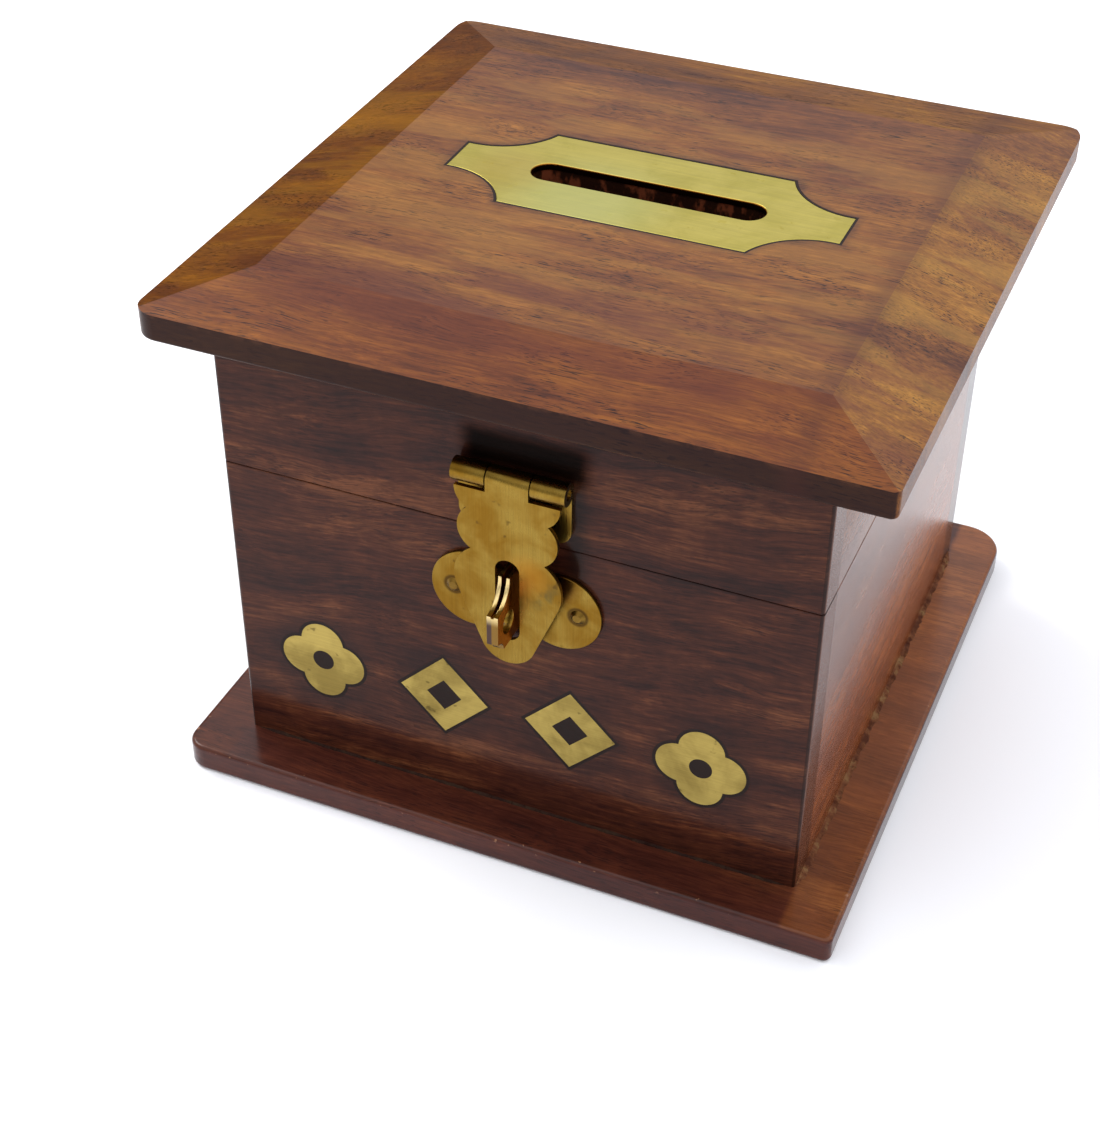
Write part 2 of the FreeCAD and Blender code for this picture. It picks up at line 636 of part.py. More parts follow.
# ---------------------------------------------------------------- rear butt hinges
AXIS_Y = "(body_size / 2 + butt_stand)"
AXIS_Z = "(seam_low + seam_gap / 2)"
wall_tools = []
rim_tools = []
for tag, sign in (("left", -1), ("right", 1)):
    middle = "%d * butt_x" % sign
    for part, low, sink_low in (
        ("lower", "seam_low - butt_leaf", "seam_low - screw_sink"),
        ("upper", RIM_LOW, RIM_LOW),
    ):
        name = "butt_%s_%s" % (part, tag)
        hinge = new_body(name + "_body")
        plan = sketch_on(hinge, name + "_plan", "XY", low)
        inner_gap = "butt_knuckle + knuckle_gap"
        reach = "body_size / 2 + 1"
        clear = "body_size / 2 - 0.15"
        if part == "lower":
            loop(plan, [
                (middle + " - butt_half", "butt_inner"),
                (middle + " + butt_half", "butt_inner"),
                (middle + " + butt_half", reach),
                ("%s + %s" % (middle, inner_gap), reach),
                ("%s + %s" % (middle, inner_gap), clear),
                ("%s - (%s)" % (middle, inner_gap), clear),
                ("%s - (%s)" % (middle, inner_gap), reach),
                (middle + " - butt_half", reach),
            ])
        else:
            loop(plan, [
                (middle + " - butt_half", "butt_inner"),
                (middle + " + butt_half", "butt_inner"),
                (middle + " + butt_half", clear),
                (middle + " + butt_knuckle", clear),
                (middle + " + butt_knuckle", reach),
                (middle + " - butt_knuckle", reach),
                (middle + " - butt_knuckle", clear),
                (middle + " - butt_half", clear),
            ])
        pad(hinge, name + "_pad", plan, "butt_leaf")
        if part == "lower":
            spans = [(middle + " - butt_half", "butt_half - butt_knuckle - knuckle_gap"),
                     ("%s + %s" % (middle, inner_gap), "butt_half - butt_knuckle - knuckle_gap")]
        else:
            spans = [(middle + " - butt_knuckle", "2 * butt_knuckle")]
        for k, (start, length) in enumerate(spans, start=1):
            ring = sketch_on(hinge, "%s_ring_%d" % (name, k), "YZ", start)
            circle(ring, AXIS_Y, AXIS_Z, "butt_radius")
            circle(ring, AXIS_Y, AXIS_Z, "pin_radius + bore_play")
            pad(hinge, "%s_ring_pad_%d" % (name, k), ring, length)
        screws = []
        drills = []
        for k, side in enumerate((-1, 1), start=1):
            x = "%s + %d * butt_screw_x" % (middle, side)
            way = "-Z" if part == "lower" else "+Z"
            start = "seam_low" if part == "lower" else RIM_LOW
            inset = "seam_low + 0.1" if part == "lower" else RIM_LOW + " - 0.1"
            head = rod("%s_head_%d" % (name, k), way, x, "butt_screw_y", start,
                       "screw_head", "screw_sink")
            shank = rod("%s_shank_%d" % (name, k), way, x, "butt_screw_y", start,
                        "screw_shank", "screw_length")
            screws.append(fuse("%s_screw_%d" % (name, k), head, shank))
            drills.append(rod("%s_sink_%d" % (name, k), way, x, "butt_screw_y", inset,
                              "screw_head", "screw_sink + 0.1"))
            drills.append(rod("%s_drill_%d" % (name, k), way, x, "butt_screw_y", inset,
                              "screw_shank", "screw_length + 0.1"))
        node("hinge_%s_leaf_%s" % (part, tag), cut(name + "_leaf_cut", hinge, *drills))
        node("hinge_%s_screws_%s" % (part, tag), gather(name + "_screw_set", *screws))
        mortise = block(name + "_mortise", middle + " - butt_half", "butt_inner", low,
                        "2 * butt_half", "wall_thick + 1", "butt_leaf")
        (wall_tools if part == "lower" else rim_tools).extend([mortise] + drills)
    node("hinge_pin_" + tag, rod("butt_pin_" + tag, "+X", middle + " - butt_half", AXIS_Y, AXIS_Z,
                                 "pin_radius", "2 * butt_half"))

# ---------------------------------------------------------------- finished boards
node("front_wall", cut("front_wall_cut", wall["front"], *inlay_beds, *staple_holes))
node("back_wall", cut("back_wall_cut", wall["back"], *wall_tools))
for across in ("left", "right"):
    node(across + "_wall", cut(across + "_wall_cut", wall[across], *base_holes))
node("lid_front_rim", cut("lid_front_rim_cut", rim["front"], *leaf_holes))
node("lid_back_rim", cut("lid_back_rim_cut", rim["back"], *rim_tools))
node("lid_left_rim", rim["left"])
node("lid_right_rim", rim["right"])

# ---------------------------------------------------------------- lid board, slot plate, filler
lid = new_body("lid_board_body")
lid.setExpression("Placement.Base.x", "Dims.lid_x")
lid.setExpression("Placement.Base.y", "Dims.lid_y")
outline = sketch_on(lid, "lid_outline", "XY", "lid_under")
rounded_square(outline, "lid_size", "lid_round_fl", "lid_round_fr", "lid_round_br", "lid_round_bl")
pad(lid, "lid_pad", outline, "lid_top - lid_under")
under = value_of("lid_under")
ease(lid, "lid_soft_edges", "Fillet", "lid_soft", lambda p, e: near(p.z, under))
rise = "(lid_top - lid_arris)"
for name, plane, sign, width in (
    ("front", "YZ", -1, "bevel_front"),
    ("back", "YZ", 1, "bevel_back"),
    ("left", "XZ", -1, "bevel_side"),
    ("right", "XZ", 1, "bevel_side"),
):
    wedge = sketch_on(lid, "bevel_%s_profile" % name, plane, None)
    far = "%d * (lid_size / 2 + 2)" % sign
    near_field = "%d * (lid_size / 2 - %s)" % (sign, width)
    loop(wedge, [
        (near_field, "lid_top"),
        (far, "lid_arris - 2 * %s / %s" % (rise, width)),
        (far, "lid_top + 2"),
        (near_field, "lid_top + 2"),
    ])
    pocket(lid, "bevel_" + name, wedge, "lid_size + 10", midplane=True)

slot = new_body("slot_cutter")
slot.setExpression("Placement.Base.x", "Dims.plate_x")
shape = sketch_on(slot, "slot_cutter_outline", "XY", "lid_under - 1")
flat = "(slot_length / 2 - slot_width / 2)"


def stadium(sketch, grow):
    half = "(slot_width / 2 + %s)" % grow
    loop(sketch, [
        ("-" + flat, "plate_y - " + half),
        (flat, "plate_y - " + half, half, -1),
        (flat + " + " + half, "plate_y", half, -1),
        (flat, "plate_y + " + half),
        ("-" + flat, "plate_y + " + half, half, -1),
        ("-%s - %s" % (flat, half), "plate_y", half, -1),
    ])


stadium(shape, "slot_ease")
pad(slot, "slot_cutter_pad", shape, "lid_top - lid_under + 2")


def scalloped(sketch, grow):
    """The plate outline: a long rectangle with a hollow worked out of each corner."""
    end_x = "(plate_length / 2 + %s)" % grow
    wide_y = "(plate_width / 2 + %s)" % grow
    arc = "(scallop_radius - %s)" % grow
    end_y = "(scallop_y - sqrt(%s^2 - (%s - scallop_x)^2))" % (arc, end_x)
    wide_x = "(scallop_x - sqrt(%s^2 - (scallop_y - %s)^2))" % (arc, wide_y)
    corners = []
    for sx, sy, first_is_end in ((1, -1, False), (1, 1, True), (-1, 1, False), (-1, -1, True)):
        end = ("%d * %s" % (sx, end_x), "plate_y + %d * %s" % (sy, end_y))
        wide = ("%d * %s" % (sx, wide_x), "plate_y + %d * %s" % (sy, wide_y))
        pair = (end, wide) if first_is_end else (wide, end)
        corners.append(pair[0] + (arc, 1))
        corners.append(pair[1])
    loop(sketch, corners)


plate_back = "lid_top - plate_thick"
plate = new_body("slot_plate_body")
plate.setExpression("Placement.Base.x", "Dims.plate_x")
shape = sketch_on(plate, "slot_plate_outline", "XY", plate_back)
scalloped(shape, "0")
stadium(shape, "0")
pad(plate, "slot_plate_pad", shape, "plate_thick")
node("slot_plate", plate)
bed = new_body("slot_plate_bed")
bed.setExpression("Placement.Base.x", "Dims.plate_x")
shape = sketch_on(bed, "slot_plate_bed_outline", "XY", plate_back)
scalloped(shape, "filler_edge")
stadium(shape, "0")
pad(bed, "slot_plate_bed_pad", shape, "plate_thick")
node("slot_plate_filler", cut("slot_plate_filler_cut", bed, plate))
node("lid_board", cut("lid_board_cut", lid, bed, slot))

# ---------------------------------------------------------------- check and export
doc.recompute()
for obj in doc.Objects:
    if "Invalid" in obj.State or "Error" in obj.State:
        raise RuntimeError("%s: %s" % (obj.Name, obj.State))
for label in sorted(nodes):
    shape = nodes[label].Shape
    if shape.isNull() or not shape.isValid() or not shape.Solids:
        raise RuntimeError("%s has no valid solid" % label)
    shape.exportStep("parts/%s.step" % label)
    print("%-26s solids %d  volume %.1f" % (label, len(shape.Solids), shape.Volume))
print(len(nodes), "nodes")
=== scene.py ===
import bpy
import bmesh
import math
from mathutils import Matrix, Vector, noise


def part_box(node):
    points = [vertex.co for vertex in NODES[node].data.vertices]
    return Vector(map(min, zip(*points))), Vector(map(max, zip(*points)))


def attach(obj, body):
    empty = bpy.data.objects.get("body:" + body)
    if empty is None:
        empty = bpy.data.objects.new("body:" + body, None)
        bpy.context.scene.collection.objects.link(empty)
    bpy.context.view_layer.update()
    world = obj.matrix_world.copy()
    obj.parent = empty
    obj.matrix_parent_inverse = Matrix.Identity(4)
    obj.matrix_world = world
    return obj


# Looks for the donation box: varnished hardwood boards, tarnished brass fittings, dark filler.
# Everything is in metres in the row frame. The front faces -Y.

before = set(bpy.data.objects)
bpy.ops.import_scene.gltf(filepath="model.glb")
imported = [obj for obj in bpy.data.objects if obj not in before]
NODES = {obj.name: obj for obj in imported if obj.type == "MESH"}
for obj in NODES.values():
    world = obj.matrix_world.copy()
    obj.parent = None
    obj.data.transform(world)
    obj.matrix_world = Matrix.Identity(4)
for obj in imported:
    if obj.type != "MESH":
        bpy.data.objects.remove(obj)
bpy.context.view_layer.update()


# ---------------------------------------------------------------- places, from the CAD at rest
def middle(node, axis):
    """Where the middle of a CAD node lies along an axis."""
    low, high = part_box(node)
    return (low[axis] + high[axis]) / 2


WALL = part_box("front_wall")[1].x
WALL_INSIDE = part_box("back_wall")[0].y
BASE_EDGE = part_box("base_board")[1].x
BASE_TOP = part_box("base_board")[1].z
LID_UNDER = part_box("lid_board")[0].z
LID_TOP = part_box("lid_board")[1].z
PLATE_X = middle("slot_plate", 0)
PLATE_Y = middle("slot_plate", 1)
PLATE_HALF_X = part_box("slot_plate")[1].x - PLATE_X
PLATE_HALF_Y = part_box("slot_plate")[1].y - PLATE_Y
INLAY_STEP = middle("front_inlay_2", 0) - middle("front_inlay_1", 0)
INLAY_X = (middle("front_inlay_1", 0) + middle("front_inlay_4", 0)) / 2
INLAY_Z = middle("front_inlay_1", 2)
HASP_X = middle("staple_plate", 0)
NAIL_Z = middle("staple_nails", 2)

SLOT_HALF_X = 0.0241          # just past the coin slot's walls, from the plate's middle
SLOT_HALF_Y = 0.0041
NOTCH_RADIUS = 0.0148         # the hollow cut out of each corner of the slot plate
NOTCH_X = 0.03855             # and its middle, from the plate's middle
NOTCH_Y = 0.0200
NAIL_REACH = 0.0124           # the staple's nails, left and right of the hasp's middle
LUG_HALF = 0.0014             # just past the folded lug's cheeks, from the hasp's middle
LUG_Z = (0.0530, 0.0680)      # just past its lower and upper edges
STRAP_FACE = (-0.0618, -0.0624)     # fades in behind the strap's face; the plates lie farther back
BARREL_SHADOW_X = (-0.0085, 0.0150)         # the painted shadow on the rim above the hasp's barrel
BARREL_SHADOW_Z = (0.0870, 0.0945)
BARREL_SHADOW_DULL_MARGIN = 0.0005         # how much farther the varnish is dull


# ---------------------------------------------------------------- colour and node helpers
def srgb(r, g, b):
    """A colour given as 0-255 screen values, as linear RGBA."""
    out = []
    for c in (r, g, b):
        c = c / 255.0
        out.append(c / 12.92 if c <= 0.04045 else ((c + 0.055) / 1.055) ** 2.4)
    return (out[0], out[1], out[2], 1.0)


class Graph:
    """The node tree of a material or world, with short ways to add what is used here."""

    def __init__(self, owner):
        owner.use_nodes = True
        self.owner = owner
        self.tree = owner.node_tree
        self.tree.nodes.clear()

    def node(self, kind, inputs=None, **props):
        n = self.tree.nodes.new(kind)
        for key, value in props.items():
            setattr(n, key, value)
        for key, value in (inputs or {}).items():
            self.put(n.inputs[key], value)
        return n

    def put(self, socket, value):
        if isinstance(value, bpy.types.NodeSocket):
            self.tree.links.new(value, socket)
        else:
            socket.default_value = value

    def math(self, op, a, b=0.0, c=0.0):
        return self.node("ShaderNodeMath", {0: a, 1: b, 2: c}, operation=op).outputs[0]

    def vector_math(self, op, a, b):
        return self.node("ShaderNodeVectorMath", {0: a, 1: b}, operation=op).outputs[0]

    def step(self, value, low, high):
        """0 below low, 1 above high, smooth between. low may be above high."""
        flip = low > high
        n = self.node("ShaderNodeMapRange", {
            "Value": value, "From Min": min(low, high), "From Max": max(low, high),
            "To Min": 1.0 if flip else 0.0, "To Max": 0.0 if flip else 1.0,
        }, interpolation_type="SMOOTHSTEP")
        return n.outputs["Result"]

    def mix(self, factor, a, b, mode="MIX"):
        n = self.node("ShaderNodeMix", {0: factor, 6: a, 7: b}, data_type="RGBA", blend_type=mode)
        return n.outputs[2]

    def ramp(self, value, *stops):
        n = self.node("ShaderNodeValToRGB", {0: value})
        ramp = n.color_ramp
        while len(ramp.elements) < len(stops):
            ramp.elements.new(0.5)
        for element, (place, colour) in zip(ramp.elements, stops):
            element.position = place
            element.color = colour
        return n.outputs[0]

    def noise(self, vector, scale, detail=2.0, rough=0.5, distort=0.0):
        n = self.node("ShaderNodeTexNoise", {"Vector": vector, "Scale": scale, "Detail": detail,
                                             "Roughness": rough, "Distortion": distort})
        return n.outputs["Fac"]

    def scaled(self, vector, x, y, z, shift=(0.0, 0.0, 0.0), turn=(0.0, 0.0, 0.0)):
        n = self.node("ShaderNodeMapping", {"Vector": vector, "Location": shift, "Rotation": turn,
                                            "Scale": (x, y, z)})
        return n.outputs[0]

    def bump(self, height, strength, distance, normal=None):
        n = self.node("ShaderNodeBump", {"Height": height, "Strength": strength,
                                         "Distance": distance})
        if normal is not None:
            self.put(n.inputs["Normal"], normal)
        return n.outputs[0]

    def surface(self, inputs):
        """Ends a material with a principled shader, and returns the material."""
        shader = self.node("ShaderNodeBsdfPrincipled", inputs)
        self.node("ShaderNodeOutputMaterial", {"Surface": shader.outputs[0]})
        return self.owner


def material_graph(name):
    """A new material's graph. Its vector holds object coordinates in metres, x, y and z their parts."""
    mat = bpy.data.materials.new(name)
    mat.diffuse_color = (0.3, 0.2, 0.15, 1)
    g = Graph(mat)
    g.vector = g.node("ShaderNodeTexCoord").outputs["Object"]
    g.x, g.y, g.z = g.node("ShaderNodeSeparateXYZ", {"Vector": g.vector}).outputs
    return g


# ---------------------------------------------------------------- masks, from 0 to 1, and repainting
def band(g, value, low, high, soft):
    """1 between low and high, fading over soft on both sides."""
    up = g.step(value, low - soft, low + soft)
    return g.math("MULTIPLY", up, g.step(value, high + soft, high - soft))


def about(g, value, centre, half, soft):
    """1 within half of the centre, fading over soft on both sides."""
    return band(g, value, centre - half, centre + half, soft)


def both(g, *masks):
    """1 where all the masks are 1."""
    out = masks[0]
    for mask in masks[1:]:
        out = g.math("MULTIPLY", out, mask)
    return out


def size_of(g, value):
    return g.math("ABSOLUTE", value)


def spread_from(g, a, b, a0, b0):
    """Distance in a plane from the point a0, b0."""
    da = g.math("SUBTRACT", a, a0)
    db = g.math("SUBTRACT", b, b0)
    return g.math("SQRT", g.math("MULTIPLY_ADD", da, da, g.math("MULTIPLY", db, db)))


def facing(g):
    """The surface direction in the board's own axes."""
    normal = g.node("ShaderNodeTexCoord").outputs["Normal"]
    return g.node("ShaderNodeSeparateXYZ", {"Vector": normal}).outputs


def tint(g, base, mask, amount, colour):
    """Lays a colour over base by an amount where the mask is."""
    return g.mix(g.math("MULTIPLY", mask, amount), base, colour)


def gain(g, base, mask, factors):
    """Multiplies base's red, green and blue where the mask is."""
    return g.mix(mask, base, (*factors, 1), "MULTIPLY")


def grey(g, value):
    return g.node("ShaderNodeCombineColor", {0: value, 1: value, 2: value}).outputs[0]


# ---------------------------------------------------------------- wood
# Noise layers of the grain: scale along and across it per metre, detail, roughness.
GRAIN = {
    "broad": (9, 42, 2.0, 0.5),
    "bands": (17, 190, 3.0, 0.6),
    "streak": (85, 1250, 3.0, 0.7),
    "fibre": (190, 3000, 2.0, 0.6),
    "pore": (330, 4300, 1.0, 0.4),
    "pore_patch": (55, 130, 2.0, 0.5),
    "cloud": (60, 85, 5.0, 0.68),
    "ripple": (620, 120, 2.0, 0.5),
}
SPREAD = 0.115                # how far the mixed layers stray from 0.5 at contrast 1
VARNISH_ROUGH = 0.42


def layer(g, vector, name):
    along, across, detail, rough = GRAIN[name]
    return g.noise(g.scaled(vector, along, across, across), 1.0, detail, rough)


def bent(g, grain):
    """The grain's coordinates, pushed sideways by a few millimetres so that its lines wander."""
    push = g.node("ShaderNodeTexNoise", {"Vector": g.scaled(grain, 14, 30, 30), "Scale": 1.0,
                                         "Detail": 3.0}).outputs["Color"]
    push = g.vector_math("SUBTRACT", push, (0.5, 0.5, 0.5))
    push = g.vector_math("MULTIPLY", push, (0.0, 0.012, 0.012))
    return g.vector_math("ADD", grain, push)


def wood(name, along, colours, shift, tilt=0.0, contrast=1.0, pores=1.0, coat=1.0,
         coat_rough=0.2, coat_ior=1.3, paint=None, gloss=None):
    """Hardwood with its grain along X or Y: colour bands, streaks, fibres, pores and a ripple.

    colours run from purple-brown over brown and golden brown to the lightest streaks.
    paint(graph, colour) may repaint it by place, and gloss(graph) may thin the varnish by place.
    """
    g = material_graph(name)
    turn = math.radians(90 if along == "Y" else 0)
    grain = g.scaled(g.vector, 1, 1, 1, shift=shift, turn=(0.0, math.radians(tilt), turn))
    wavy = bent(g, grain)
    broad = layer(g, wavy, "broad")
    bands = layer(g, wavy, "bands")
    streak = layer(g, wavy, "streak")
    fibre = layer(g, wavy, "fibre")
    cloud = layer(g, grain, "cloud")
    ripple = layer(g, grain, "ripple")
    pore = g.step(layer(g, wavy, "pore"), 0.59, 0.65)
    patch = g.step(layer(g, wavy, "pore_patch"), 0.42, 0.60)
    pore = g.math("MULTIPLY", pore, g.math("MULTIPLY_ADD", patch, 0.8, 0.2))
    value = g.math("MULTIPLY", broad, 0.34)
    value = g.math("MULTIPLY_ADD", bands, 0.24, value)
    value = g.math("MULTIPLY_ADD", streak, 0.20, value)
    value = g.math("MULTIPLY_ADD", cloud, 0.22, value)
    spread = SPREAD / contrast
    value = g.node("ShaderNodeMapRange", {"Value": value, "From Min": 0.5 - spread,
                                          "From Max": 0.5 + spread}).outputs["Result"]
    base = g.ramp(value, (0.0, colours[0]), (0.36, colours[1]), (0.68, colours[2]),
                  (1.0, colours[3]))
    tone = g.math("MULTIPLY_ADD", fibre, contrast, 1.0 - 0.5 * contrast)
    tone = g.math("MULTIPLY_ADD", g.math("SUBTRACT", streak, 0.5), 0.5 * contrast, tone)
    tone = g.math("MULTIPLY_ADD", g.math("SUBTRACT", ripple, 0.5), 0.22 * contrast, tone)
    base = g.mix(1.0, base, grey(g, tone), "MULTIPLY")
    base = tint(g, base, pore, 0.60 * pores, srgb(34, 18, 16))
    if paint:
        base = paint(g, base)
    if gloss:
        coat = g.math("MULTIPLY", gloss(g), coat)
    height = g.math("MULTIPLY_ADD", fibre, 0.4, g.math("MULTIPLY", pore, -0.8))
    glaze = g.math("MULTIPLY_ADD", pore, 0.22, g.math("MULTIPLY_ADD", cloud, 0.16, VARNISH_ROUGH))
    return g.surface({
        "Base Color": base, "Roughness": glaze, "Normal": g.bump(height, 0.3, 0.00012),
        "Specular IOR Level": 0.03, "Coat Weight": coat, "Coat Roughness": coat_rough,
        "Coat IOR": coat_ior, "Coat Normal": g.bump(height, 0.12, 0.00008),
    })


def raw_inside(g, base):
    """The inside was never varnished, so it is paler. Its faces lie just within these limits."""
    across = [g.step(size_of(g, place), WALL_INSIDE + 0.0005, WALL_INSIDE + 0.0001)
              for place in (g.x, g.y)]
    inside = both(g, *across, g.step(g.z, BASE_TOP - 0.0005, BASE_TOP - 0.0002),
                  g.step(g.z, LID_UNDER + 0.0004, LID_UNDER + 0.0001))
    return tint(g, base, inside, 0.6, srgb(150, 112, 78))


def lid_faces(g):
    """Masks of the lid board's faces, by the way they look; left to back are the bevels."""
    nx, ny, nz = facing(g)
    up = g.step(nz, 0.85, 0.93)
    return {
        "up": up,
        "left": both(g, g.step(nx, -0.12, -0.20), up),
        "right": both(g, g.step(nx, 0.12, 0.20), up),
        "ahead": both(g, g.step(ny, -0.12, -0.20), up),
        "back": both(g, g.step(ny, 0.10, 0.17), up),
        "front_edge": g.step(ny, -0.60, -0.85),
        "right_edge": g.step(nx, 0.60, 0.85),
        "under": g.step(nz, -0.5, -0.8),
    }


# Painted light and shade: each bevel made lighter or darker by the way it faces the light.
BEVEL_LIGHT_GAINS = {
    "left": (0.80, 0.75, 0.12),
    "back": (1.08, 1.22, 0.70),
    "right": (1.28, 1.48, 1.35),
    "ahead": (1.0, 0.88, 0.74),
}
LID_RUBBED = {"back": 0.85, "left": 0.55, "front_edge": 0.35, "right_edge": 0.45, "under": 0.9}


def slot_hollow(g, base):
    """Rough wood where the coin slot goes down through the lid board, painted dark as the shade inside
    the slot.
    """
    hollow = both(g, about(g, g.x, PLATE_X, SLOT_HALF_X, 0.0006),
                  about(g, g.y, PLATE_Y, SLOT_HALF_Y, 0.0006),
                  g.step(g.z, LID_TOP - 0.0007, LID_TOP - 0.0013))
    chips = g.noise(g.scaled(g.vector, 420, 420, 200), 1.0, 3.0, 0.6)
    # painted shade inside the slot, with lighter chips
    colour = g.mix(g.step(chips, 0.48, 0.64), srgb(24, 10, 7), srgb(116, 58, 36))
    return tint(g, base, hollow, 0.9, colour)


def plate_outline_band(g, base, up):
    """A darker band round the slot plate's outline, a box with four hollow corners."""
    px = size_of(g, g.math("SUBTRACT", g.x, PLATE_X))
    py = size_of(g, g.math("SUBTRACT", g.y, PLATE_Y))
    box = g.math("MAXIMUM", g.math("SUBTRACT", px, PLATE_HALF_X),
                 g.math("SUBTRACT", py, PLATE_HALF_Y))
    notch = g.math("SUBTRACT", NOTCH_RADIUS, spread_from(g, px, py, NOTCH_X, NOTCH_Y))
    out = g.math("MAXIMUM", box, notch)
    wander = g.math("SUBTRACT", g.noise(g.vector, 350, 3.0, 0.6), 0.5)
    out = g.math("MULTIPLY_ADD", wander, 0.003, out)
    return tint(g, base, both(g, g.step(out, 0.0026, 0.0002), up), 0.42, srgb(40, 20, 20))


def paint_lid(g, base):
    """The lid board's colour: figure, painted light and shade on the four bevels, painted shade on the
    front edge, a darker band round the plate.
    """
    base = raw_inside(g, base)
    faces = lid_faces(g)
    figure = g.noise(g.scaled(g.vector, 26, 105, 60, shift=(0.2, 0.4, 0.1)), 1.0, 4.0, 0.62)
    purple = both(g, band(g, g.y, -0.0620, -0.0370, 0.0070), g.step(figure, 0.42, 0.56))
    base = tint(g, base, purple, 0.50, srgb(82, 38, 28))
    golden = both(g, band(g, g.y, -0.0420, 0.0400, 0.0100), g.step(figure, 0.56, 0.44))
    base = tint(g, base, golden, 0.34, srgb(134, 92, 38))
    for face, factors in BEVEL_LIGHT_GAINS.items():
        base = gain(g, base, faces[face], factors)
    # painted shade: the lid's front edge darkened as a face turned away from the light
    base = tint(g, base, faces["front_edge"], 0.9, srgb(30, 11, 10))
    arris = both(g, band(g, g.z, 0.1078, 0.1088, 0.0005), g.math("SUBTRACT", 1.0, faces["up"]))
    worn = g.step(g.noise(g.vector, 300, 2.0, 0.6), 0.5, 0.62)
    base = tint(g, base, both(g, arris, worn), 0.12, srgb(120, 74, 46))
    ridge = band(g, g.x, 0.0520, 0.0562, 0.0024)
    base = tint(g, base, ridge, 0.38, srgb(58, 24, 18))
    base = slot_hollow(g, base)
    return plate_outline_band(g, base, faces["up"])


def gloss_lid(g):
    """Two bevels, two edges and the underside have less varnish than the field."""
    faces = lid_faces(g)
    gloss = 1.0
    for face, share in LID_RUBBED.items():
        gloss = g.math("SUBTRACT", gloss, g.math("MULTIPLY", faces[face], share))
    return gloss


def barrel_shadow(g, margin):
    """The place of the painted shadow above the hasp's barrel."""
    return both(g, band(g, g.x, BARREL_SHADOW_X[0] - margin, BARREL_SHADOW_X[1] + margin, 0.0020),
                band(g, g.z, BARREL_SHADOW_Z[0] - margin, BARREL_SHADOW_Z[1] + margin, 0.0020))


def paint_front(g, base):
    """Darker polish around the ornaments, painted shadow above and beside the hasp, a painted dark
    reflection on the rounded arrises, and lighter end strips.
    """
    base = raw_inside(g, base)
    nx, ny, _ = facing(g)
    ahead = g.step(ny, -0.5, -0.8)
    from_middle = g.math("SUBTRACT", g.x, INLAY_X)
    row = g.math("MODULO", g.math("ADD", from_middle, 2 * INLAY_STEP), INLAY_STEP)
    row = g.math("SUBTRACT", row, INLAY_STEP / 2)
    halo = both(g, g.step(spread_from(g, row, g.z, 0.0, INLAY_Z), 0.0130, 0.0088),
                g.step(size_of(g, from_middle), 0.0535, 0.0520), ahead)
    base = tint(g, base, halo, 0.45, srgb(30, 14, 14))
    # painted shadow: near black on the rim above the hasp's barrel
    base = tint(g, base, both(g, barrel_shadow(g, 0.0), ahead), 0.95, srgb(4, 2, 1))
    # painted shadow of the strap on the wall to its right
    strap_shadow_on_wall = both(g, band(g, g.x, 0.0110, 0.0150, 0.0022), band(g, g.z, 0.0640, 0.0870, 0.0030), ahead)
    base = tint(g, base, strap_shadow_on_wall, 0.75, srgb(8, 4, 3))
    ends = g.step(size_of(g, nx), 0.8, 0.95)
    base = tint(g, base, ends, 0.75, srgb(92, 50, 30))
    # painted dark reflection on the rounded upright corners
    arris = band(g, size_of(g, nx), 0.30, 0.86, 0.08)
    return tint(g, base, arris, 0.6, srgb(22, 9, 6))


def gloss_front(g):
    """The varnish is dull where the shadow above the barrel is painted."""
    return g.math("SUBTRACT", 1.0, g.math("MULTIPLY", barrel_shadow(g, BARREL_SHADOW_DULL_MARGIN), 0.92))


def paint_side(g, base):
    """Painted reflection of the orange base board: the side walls are lighter and redder low down."""
    return gain(g, raw_inside(g, base), g.step(g.z, 0.062, 0.030), (1.5, 1.28, 1.0))


def gloss_side(g):
    """The varnish thins out up under the lid."""
    return g.math("SUBTRACT", 1.0, g.math("MULTIPLY", g.step(g.z, 0.070, 0.100), 0.62))


def paint_base(g, base):
    """Painted light on the side strips, brightest toward the back of the right one; small chips along
    the upper arris, pale underside.
    """
    base = raw_inside(g, base)
    nz = facing(g)[2]
    flat = g.step(nz, 0.4, 0.8)
    strip = (WALL - 0.0005, WALL + 0.0010)
    # painted light: the right strip lit brightest at the back, darker in front where the box shades it
    right = both(g, g.step(g.x, *strip), flat)
    fade = g.math("MULTIPLY_ADD", g.step(g.y, -0.056, -0.020), 0.40, 0.36)
    base = tint(g, base, right, 0.35, srgb(62, 32, 18))
    base = gain(g, base, both(g, right, fade), (4.5, 5.2, 2.9))
    # painted light on the left strip, weaker
    left = both(g, g.step(g.x, -strip[0], -strip[1]), flat)
    base = gain(g, base, g.math("MULTIPLY", left, 0.5), (1.2, 1.0, 0.4))
    upright = g.step(size_of(g, nz), 0.5, 0.2)
    base = gain(g, base, upright, (1.0, 0.82, 0.95))
    rim = g.math("SUBTRACT", g.math("MAXIMUM", size_of(g, g.x), size_of(g, g.y)), BASE_EDGE)
    edge = both(g, g.step(rim, -0.0015, -0.0007), g.step(g.z, BASE_TOP - 0.0015, BASE_TOP - 0.0004))
    chips = g.step(g.noise(g.vector, 520, 2.0, 0.6), 0.67, 0.71)
    base = tint(g, base, both(g, edge, chips), 0.8, srgb(140, 98, 70))
    under = g.step(nz, -0.7, -0.9)
    return tint(g, base, under, 0.55, srgb(120, 84, 58))


